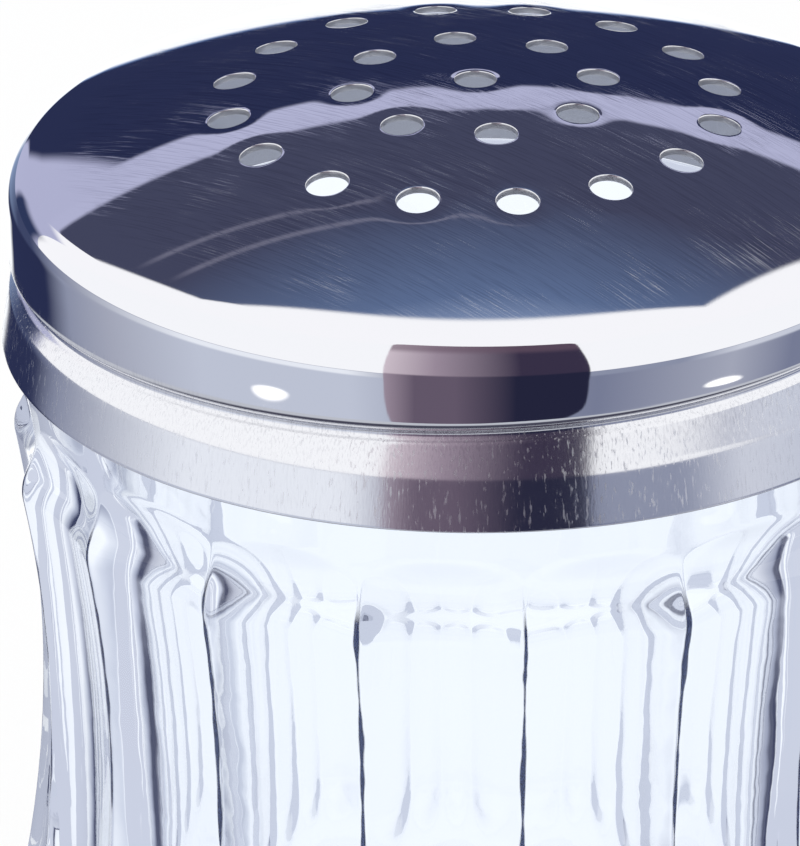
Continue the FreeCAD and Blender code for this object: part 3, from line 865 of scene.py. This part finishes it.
@dataclass(frozen=True)
class SteelFinish:
    """Bright stainless sheet: polished on the dome, rubbed on the skirt, raw inside and at the holes.

    Lengths are in metres.  A pair of heights says where a finish starts and where it is whole.
    """

    colour: Colour = (0.80, 0.80, 0.815, 1.0)
    raw_colour: Colour = (0.50, 0.50, 0.52, 1.0)
    streak_colour: Colour = (0.57, 0.57, 0.60, 1.0)
    dome_heights: Point = (0.0942, 0.0954)
    rubbed_heights: Point = (0.0882, 0.0868)
    groove_heights: Point = (0.0835, 0.0862)
    polish: float = 0.025
    worn: float = 0.24
    rubbed: float = 0.10
    scratched: float = 0.22
    raw: float = 0.42
    uneven: float = 30.0
    uneven_depth: float = 0.00002
    cloud: float = 160.0
    brush_height: float = 0.00000008
    brush_turn: float = -38.0
    brush_size: Span = (0.004, 0.00011, 0.004)
    brush_darkness: float = 0.55
    rub_height: float = 0.000002
    rub_left: float = 0.07
    rub_size: Span = (0.00014, 0.00014, 0.0034)
    rub_darkness: float = 0.1
    groove_darkness: float = 0.38
    scratch_size: Span = (0.00017, 0.00017, 0.011)
    grain: float = 5200.0
    grain_depth: float = 0.00003

    def material(self) -> bpy.types.Material:
        """Return the bright outer face as a node material on object coordinates.

        The dome has faint brushed lines and worn clouds between them.  The skirt has upright rub marks,
        darker near the groove, and a few duller scratches.
        """
        material = bpy.data.materials.new("bright_stainless_steel")
        sheet = NodeSheet(material)
        place = sheet.node("TexCoord").outputs["Object"]
        height = sheet.node("SeparateXYZ", Vector=place).outputs["Z"]
        on_dome = sheet.ease(height, *self.dome_heights)
        low = sheet.ease(height, *self.rubbed_heights)
        near_groove = sheet.times(low, sheet.ease(height, *self.groove_heights))
        brush = sheet.streaks(place, self.brush_size, self.brush_turn)
        rub = sheet.streaks(place, self.rub_size)
        scratch = sheet.streaks(place, self.scratch_size)
        cloud = sheet.node("TexNoise", Vector=place, Scale=self.cloud, Detail=3.0).outputs[0]
        dents = sheet.node("TexNoise", Vector=place, Scale=self.uneven, Detail=1.0).outputs[0]

        bump = sheet.node("Bump", Strength=1.0, Distance=self.uneven_depth, Height=dents)
        share = sheet.scaled(low, 1 - self.rub_left, self.rub_left)
        share = sheet.times(share, sheet.minus(1.0, on_dome))
        relief = sheet.plus(sheet.times(rub, share, self.rub_height),
                            sheet.times(brush, on_dome, self.brush_height))
        fine = sheet.node("Bump", Strength=1.0, Distance=1.0, Height=relief, Normal=bump.outputs[0])

        worn = sheet.times(sheet.ease(brush, 0.48, 0.72), sheet.ease(cloud, 0.38, 0.68), on_dome)
        rough = sheet.scaled(worn, self.worn, self.polish)
        rough = sheet.plus(rough, sheet.times(low, self.rubbed))
        rough = sheet.scaled(sheet.times(sheet.ease(scratch, 0.55, 0.72), low), self.scratched, rough)

        dark = sheet.scaled(near_groove, self.groove_darkness, self.rub_darkness)
        dark = sheet.times(sheet.ease(rub, 0.50, 0.66), dark, low)
        lines = sheet.times(sheet.ease(brush, 0.52, 0.36), on_dome, self.brush_darkness)
        colour = sheet.mix(sheet.plus(dark, lines), self.colour, self.streak_colour)
        shader = sheet.node("BsdfPrincipled", Base_Color=colour, Metallic=1.0,
                            Roughness=rough, Normal=fine.outputs[0])
        sheet.node("OutputMaterial", Surface=shader.outputs[0])
        return material

    def raw_material(self) -> bpy.types.Material:
        """Return the duller, grained finish of the inner face and the punched edges."""
        material = bpy.data.materials.new("raw_stainless_steel")
        sheet = NodeSheet(material)
        place = sheet.node("TexCoord").outputs["Object"]
        grain = sheet.node("TexNoise", Vector=place, Scale=self.grain, Detail=2.0).outputs[0]
        bump = sheet.node("Bump", Strength=0.7, Distance=self.grain_depth, Height=grain)
        rough = sheet.scaled(grain, 0.2, self.raw - 0.1)
        shader = sheet.node("BsdfPrincipled", Base_Color=self.raw_colour, Metallic=1.0,
                            Roughness=rough, Normal=bump.outputs[0])
        sheet.node("OutputMaterial", Surface=shader.outputs[0])
        return material


WALL_AND_CEILING: Stops = [
    (5, Tone.NIGHT), (23.9, Tone.NIGHT), (24.5, Tone.LILAC), (29.4, Tone.LILAC), (30, Tone.SLATE),
    (46, Tone.SLATE), (61, Tone.BLUE), (66, Tone.SKY),
]
NEAR_TABLE: Stops = [
    (-180, Tone.DOVE), (-150, Tone.MIST), (-110, Tone.MIST), (-80, Tone.ASH), (-62, Tone.DOVE),
    (-50, Tone.NIGHT), (-21, Tone.NIGHT), (-16, Tone.WHITE), (16, Tone.WHITE), (21, Tone.NIGHT),
    (50, Tone.NIGHT), (66, Tone.HAZE), (97, Tone.HAZE), (115, Tone.ASH), (150, Tone.HAZE),
    (180, Tone.DOVE),
]
FAR_TABLE: Stops = [
    (-180, Tone.DOVE), (-162, Tone.ASH), (-150, Tone.SNOW), (-110, Tone.SNOW), (-60, Tone.HAZE),
    (-48, Tone.DUSK), (-38, Tone.DUSK), (-20, Tone.SKY), (-16, Tone.WHITE), (16, Tone.WHITE),
    (20, Tone.SKY), (38, Tone.DUSK), (48, Tone.DUSK), (60, Tone.HAZE), (80, Tone.MIST),
    (115, Tone.CLOUD), (130, Tone.DOVE), (180, Tone.DOVE),
]
PANEL: Stops = [(-1, Tone.ROSE), (-0.7, Tone.PLUM), (-0.3, Tone.PLUM), (0.3, Tone.INK), (1, Tone.INK)]
PANEL_TOP: Stops = [(-1, Tone.BLUSH), (-0.5, Tone.ROSE), (0.35, Tone.UMBER), (1, Tone.UMBER)]
BEHIND_GLASS: Stops = [
    (-180, Tone.SNOW), (-104, Tone.CLOUD), (-84, Tone.ASH), (-74, Tone.NIGHT), (-66, Tone.NIGHT),
    (-60, Tone.DOVE), (-50, Tone.MIST), (-34, Tone.SNOW), (34, Tone.SNOW), (46, Tone.CLOUD),
    (53, Tone.NIGHT), (65, Tone.NIGHT), (71, Tone.DOVE), (96, Tone.CLOUD), (180, Tone.SNOW),
]


@dataclass
class Studio:
    """The floor, the soft lamps and the surroundings that steel and glass mirror.

    Directions are in degrees: the bearing is 0 straight behind the shaker and grows to the right.  A
    pair of directions says where something starts and where it is whole.
    """

    floor_reach: float = 2.5
    floor_drop: float = 0.0001
    floor_sides: int = 64
    bright: float = 1.19
    shelf_tilt: float = 0.055
    left_shelf: Point = (-18.5, -20.0)
    left_shelf_top: Point = (29.5, 28.0)
    wires: tuple = (((46.6, 0.12), (-30, -5)), ((49.3, 0.075), (-30, 6)))
    wire_width: Point = (0.55, 0.1)
    wire_run_out: float = 4.0
    ceiling_top: float = 64.4
    ceiling_fall: Point = (-0.0085, -5e-6)
    wall_foot: float = -2.4
    table_edge: float = -2.8
    edge_dip: float = 0.05
    most_dip: float = 150.0
    front: Point = (60.0, 66.0)
    panel_middle: float = 0.0425
    panel_width: float = 0.385
    panel_span: Point = (-30.0, 100.0)
    panel_corners: Point = (12.0, 36.0)
    glints: tuple = (((-129, -25.6), (5.0, 0.75)), ((117, -25.4), (5.5, 0.65)))

    def backdrop(self, sheet: NodeSheet, rise: Socket, bearing: Socket) -> Socket:
        """Colour what stands behind the shaker and over it, as the dome mirrors it.

        A dark wall with a pale lavender shelf ends to the left in more lavender.  A slate ceiling over
        it turns bluer upward, and two thin wires cross it.  Its top falls off sideways by the second
        and fourth powers of the bearing, and beyond it all is white.

        Args:
            sheet: the node tree.
            rise, bearing: the direction in degrees.
        Returns:
            The colour.
        """
        wide = sheet.size(bearing)
        colour = sheet.ramp(sheet.plus(rise, sheet.times(bearing, self.shelf_tilt)), WALL_AND_CEILING)
        beyond = sheet.times(sheet.ease(bearing, *self.left_shelf),
                             sheet.ease(rise, *self.left_shelf_top))
        colour = sheet.mix(beyond, colour, linear(176, 178, 208))
        for (height, slope), (left, right) in self.wires:
            away = sheet.size(sheet.minus(rise, sheet.scaled(bearing, slope, height)))
            wire = sheet.times(sheet.ease(away, *self.wire_width),
                               sheet.ease(bearing, left, left + self.wire_run_out),
                               sheet.ease(bearing, right, right - self.wire_run_out), 0.3)
            colour = sheet.mix(wire, colour, linear(168, 166, 186))
        aside = sheet.times(bearing, bearing)
        fall, steeper = self.ceiling_fall
        top = sheet.plus(sheet.scaled(aside, fall, self.ceiling_top), sheet.times(aside, aside, steeper))
        above = sheet.ease(sheet.minus(rise, top), -0.3, 0.5)
        left = sheet.times(sheet.ease(bearing, -30.6, -31.4), sheet.ease(rise, 27, 32))
        right = sheet.ease(bearing, 27.4, 28.2)
        outside = sheet.math("MAXIMUM", above, sheet.math("MAXIMUM", left, right))
        colour = sheet.mix(outside, colour, linear(250, 250, 253))
        side = sheet.times(sheet.ease(wide, 31, 35), sheet.ease(wide, 54, 48), sheet.ease(rise, 18, 8))
        return sheet.mix(side, colour, linear(46, 56, 90))

    def ground(self, sheet: NodeSheet, rise: Socket, bearing: Socket) -> Socket:
        """Colour the table and what stands round it, as band and skirt mirror them.

        The band mirrors the near ramp with two bright glints, and the flared skirt the far one, up to
        the horizon.

        Args:
            sheet: the node tree.
            rise, bearing: the direction in degrees.
        Returns:
            The colour.
        """
        near, far = sheet.ramp(bearing, NEAR_TABLE), sheet.ramp(bearing, FAR_TABLE)
        colour = sheet.mix(sheet.ease(rise, -19, -13), near, far)
        for (place, height), (across, up) in self.glints:
            wide = sheet.math("POWER", sheet.times(sheet.minus(bearing, place), 1 / across), 2.0)
            tall = sheet.math("POWER", sheet.times(sheet.minus(rise, height), 1 / up), 2.0)
            colour = sheet.mix(sheet.ease(sheet.plus(wide, tall), 1.3, 0.5), colour, (1.3, 1.3, 1.3, 1))
        colour = sheet.mix(sheet.ease(rise, -27.5, -31), colour, linear(190, 193, 202))
        return sheet.mix(sheet.ease(rise, -42, -58), colour, linear(70, 70, 86))

    def dark_panel(self, sheet: NodeSheet, parts: dict, colour: Socket) -> Socket:
        """Stand a dark panel in front, brown to its left and navy to its right.

        Its height is the angle over the horizon in the plane through camera and axis, past the zenith
        if need be.  It narrows with that angle as a round shoulder's mirror does: by (cos angle +
        cos 25) over twice cos 25.  Its corners are rounded by high powers of the place across and up.

        Args:
            sheet: the node tree.
            parts: the direction's X, Y and Z.
            colour: what stands behind.
        Returns:
            The colour.
        """
        back = sheet.times(parts["Y"], -1.0)
        angle = sheet.times(sheet.math("ARCTAN2", parts["Z"], back), math.degrees(1))
        low_view = math.cos(math.radians(25))
        narrow = sheet.plus(sheet.math("COSINE", sheet.times(angle, math.radians(1))), low_view)
        narrow = sheet.math("MAXIMUM", sheet.times(narrow, 1 / (2 * low_view)), 0.15)
        across = sheet.minus(sheet.math("DIVIDE", parts["X"], narrow), self.panel_middle)
        across = sheet.times(across, 1 / self.panel_width)
        low, high = self.panel_span
        tall = sheet.times(sheet.minus(angle, (high + low) / 2), 2 / (high - low))
        size = sheet.plus(sheet.math("POWER", sheet.size(across), self.panel_corners[0]),
                          sheet.math("POWER", sheet.size(tall), self.panel_corners[1]))
        look, top = sheet.ramp(across, PANEL), sheet.ramp(across, PANEL_TOP)
        look = sheet.mix(sheet.ease(angle, -4, 3), look, top)
        look = sheet.mix(sheet.times(sheet.ease(angle, 66, 86), 0.6), look, linear(104, 84, 100))
        return sheet.mix(sheet.ease(size, 1.1, 0.85), colour, look)

    def beyond_glass(self, sheet: NodeSheet, rise: Socket, bearing: Socket) -> Socket:
        """Colour what shows through the glass.

        It is a pale table, greyer to both sides, with two dark strips and a grey haze afar beside them,
        under a pale sky.

        Args:
            sheet: the node tree.
            rise, bearing: the direction in degrees.
        Returns:
            The colour.
        """
        colour = sheet.ramp(bearing, BEHIND_GLASS)
        haze = sheet.times(sheet.ease(rise, -24, -8), sheet.ease(rise, 14, -2),
                           sheet.ease(sheet.size(bearing), 22, 55), 0.8)
        colour = sheet.mix(haze, colour, linear(196, 201, 219))
        return sheet.mix(sheet.ease(rise, 12, 26), colour, linear(244, 247, 252))

    def mirrored(self, sheet: NodeSheet, parts: dict, rise: Socket, bearing: Socket) -> Socket:
        """Join backdrop, ground and panel into what the steel mirrors.

        The border between ground and backdrop lies a little under the horizon.  It dips to the right
        behind the shaker, a thin blue rim lies on it straight behind, and a navy one in front.

        Args:
            sheet: the node tree.
            parts: the direction's X, Y and Z.
            rise, bearing: the direction in degrees.
        Returns:
            The colour.
        """
        wide = sheet.size(bearing)
        front = sheet.ease(wide, *self.front)
        upper = sheet.mix(front, self.backdrop(sheet, rise, bearing), linear(249, 250, 253))
        lower = self.ground(sheet, rise, bearing)
        right = sheet.math("POWER", sheet.math("MAXIMUM", bearing, 0.0), 2.5)
        dip = sheet.times(sheet.math("MINIMUM", right, self.most_dip), self.edge_dip)
        dip = sheet.times(dip, sheet.minus(1.0, front))
        border = sheet.scaled(front, self.table_edge - self.wall_foot, self.wall_foot)
        over = sheet.minus(rise, sheet.minus(border, dip))
        colour = sheet.mix(sheet.ease(over, -0.5, 0.5), lower, upper)
        rim = sheet.times(sheet.near(over, 1.0), 0.7)
        colour = sheet.mix(sheet.times(rim, sheet.ease(wide, 17, 14)), colour, linear(96, 128, 184))
        colour = sheet.mix(sheet.times(rim, front), colour, linear(74, 84, 128))
        return self.dark_panel(sheet, parts, colour)

    def surroundings(self) -> None:
        """Fill the world: white to the camera and as light, and a studio to mirrors and glass."""
        world = bpy.data.worlds.new("studio")
        bpy.context.scene.world = world
        sheet = NodeSheet(world)
        way = sheet.node("TexCoord").outputs["Generated"]
        parts = sheet.node("SeparateXYZ", Vector=way).outputs
        rise = sheet.times(sheet.math("ARCSINE", parts["Z"]), math.degrees(1))
        bearing = sheet.times(sheet.math("ARCTAN2", parts["X"], parts["Y"]), math.degrees(1))
        path = sheet.node("LightPath").outputs
        glossy, through = path["Is Glossy Ray"], path["Is Transmission Ray"]
        colour = sheet.mix(glossy, linear(255, 255, 255), self.mirrored(sheet, parts, rise, bearing))
        colour = sheet.mix(through, colour, self.beyond_glass(sheet, rise, bearing))
        level = sheet.scaled(glossy, self.bright - 1, 1.0)
        level = sheet.minus(level, sheet.times(path["Is Diffuse Ray"], 0.35))
        shader = sheet.node("Background", Color=colour, Strength=level)
        sheet.node("OutputWorld", Surface=shader.outputs[0])

    def floor_material(self) -> bpy.types.Material:
        """Return the floor's finish: matt, whiter to the camera, and clear to steel and glass."""
        material = bpy.data.materials.new("white_floor")
        sheet = NodeSheet(material)
        path = sheet.node("LightPath").outputs
        matt = sheet.node("BsdfDiffuse", Color=(0.94, 0.945, 0.955, 1))
        shown = sheet.mixed(0.80, matt, sheet.node("Emission", Color=(1, 1, 1, 1), Strength=1.05))
        plain = sheet.mixed(path["Is Camera Ray"], matt, shown)
        past = sheet.math("MAXIMUM", path["Is Glossy Ray"], path["Is Transmission Ray"])
        final = sheet.mixed(past, plain, sheet.node("BsdfTransparent"))
        sheet.node("OutputMaterial", Surface=final.outputs[0])
        return material

    def floor(self) -> None:
        """Lay a round white floor that keeps the shaker's shadow."""
        mesh = bpy.data.meshes.new("floor")
        turn = np.linspace(0, 2 * np.pi, self.floor_sides, endpoint=False)
        points = np.stack([np.cos(turn) * self.floor_reach, np.sin(turn) * self.floor_reach,
                           np.full(self.floor_sides, -self.floor_drop)], axis=1)
        mesh.from_pydata(points.tolist(), [], [list(range(self.floor_sides))])
        mesh.materials.append(self.floor_material())
        floor = bpy.data.objects.new("floor", mesh)
        bpy.context.scene.collection.objects.link(floor)

    def lamp(self, name: str, place: Span, reach: float, power: float) -> None:
        """Hang a large square lamp that points at the shaker and that mirrors don't show.

        Args:
            name: the lamp's name.
            place: where it hangs, in metres.
            reach: its side in metres.
            power: its power in watts.
        """
        data = bpy.data.lights.new(name, "AREA")
        data.size, data.energy = reach, power
        lamp = bpy.data.objects.new(name, data)
        lamp.location = place
        way = Vector((0, 0, 0.05)) - Vector(place)
        lamp.rotation_euler = way.to_track_quat("-Z", "Y").to_euler()
        lamp.visible_camera = lamp.visible_glossy = lamp.visible_transmission = False
        bpy.context.scene.collection.objects.link(lamp)

    def build(self) -> None:
        """Set up the surroundings, the floor and two soft lamps."""
        self.surroundings()
        self.floor()
        self.lamp("key_lamp", (-0.9, -0.5, 1.3), 0.9, 5.0)
        self.lamp("fill_lamp", (1.0, -0.7, 1.0), 1.1, 2.5)


@dataclass
class PhotoCamera:
    """The camera as fitted to the photograph, in its pixels and in metres.

    The fit gives the height of the view over level, the distance to the top of the dome, the pixels
    for a unit of slope, and the pixel at which the top of the dome shows.
    """

    rise: float = 22.66
    distance: float = 0.5458
    focus: float = 7269.5
    roll: float = 0.12
    dome_pixel: Point = (474.64, 78.37)
    frame_size: tuple[int, int] = (800, 846)
    target: Span = (0.0, 0.0, 0.1)
    sensor: float = 36.0
    clip: Point = (0.01, 20.0)

    def build(self) -> None:
        """Place the camera so that the picture's middle looks where the fitted one does."""
        up = math.radians(self.rise)
        back = Vector((0, -math.cos(up), math.sin(up)))
        right, above = Vector((1, 0, 0)), Vector((0, math.sin(up), math.cos(up)))
        across = (self.frame_size[0] / 2 - self.dome_pixel[0]) / self.focus
        down = (self.frame_size[1] / 2 - self.dome_pixel[1]) / self.focus
        look = (-back + right * across - above * down).normalized()
        data = bpy.data.cameras.new("photo_camera")
        data.sensor_width = self.sensor
        data.lens = self.focus / max(self.frame_size) * self.sensor
        data.clip_start, data.clip_end = self.clip
        camera = bpy.data.objects.new("photo_camera", data)
        side = look.cross(above).normalized()
        top = side.cross(look)
        turn = Matrix((side, top, -look)).transposed()
        turn = turn @ Matrix.Rotation(math.radians(self.roll), 3, "Z")
        place = Vector(self.target) + back * self.distance
        camera.matrix_world = Matrix.Translation(place) @ turn.to_4x4()
        bpy.context.scene.collection.objects.link(camera)
        bpy.context.scene.camera = camera


def main() -> None:
    """Build the studio, the camera and the two pieces."""
    logging.basicConfig(level=logging.INFO, format="%(name)s: %(message)s")
    bpy.context.scene.view_settings.view_transform = "Standard"
    Studio().build()
    PhotoCamera().build()
    for piece in (GlassJar().build(GlassFinish()), ScrewLid().build(SteelFinish())):
        log.info("dressed %s", piece.name)


if __name__ == "__main__":
    main()
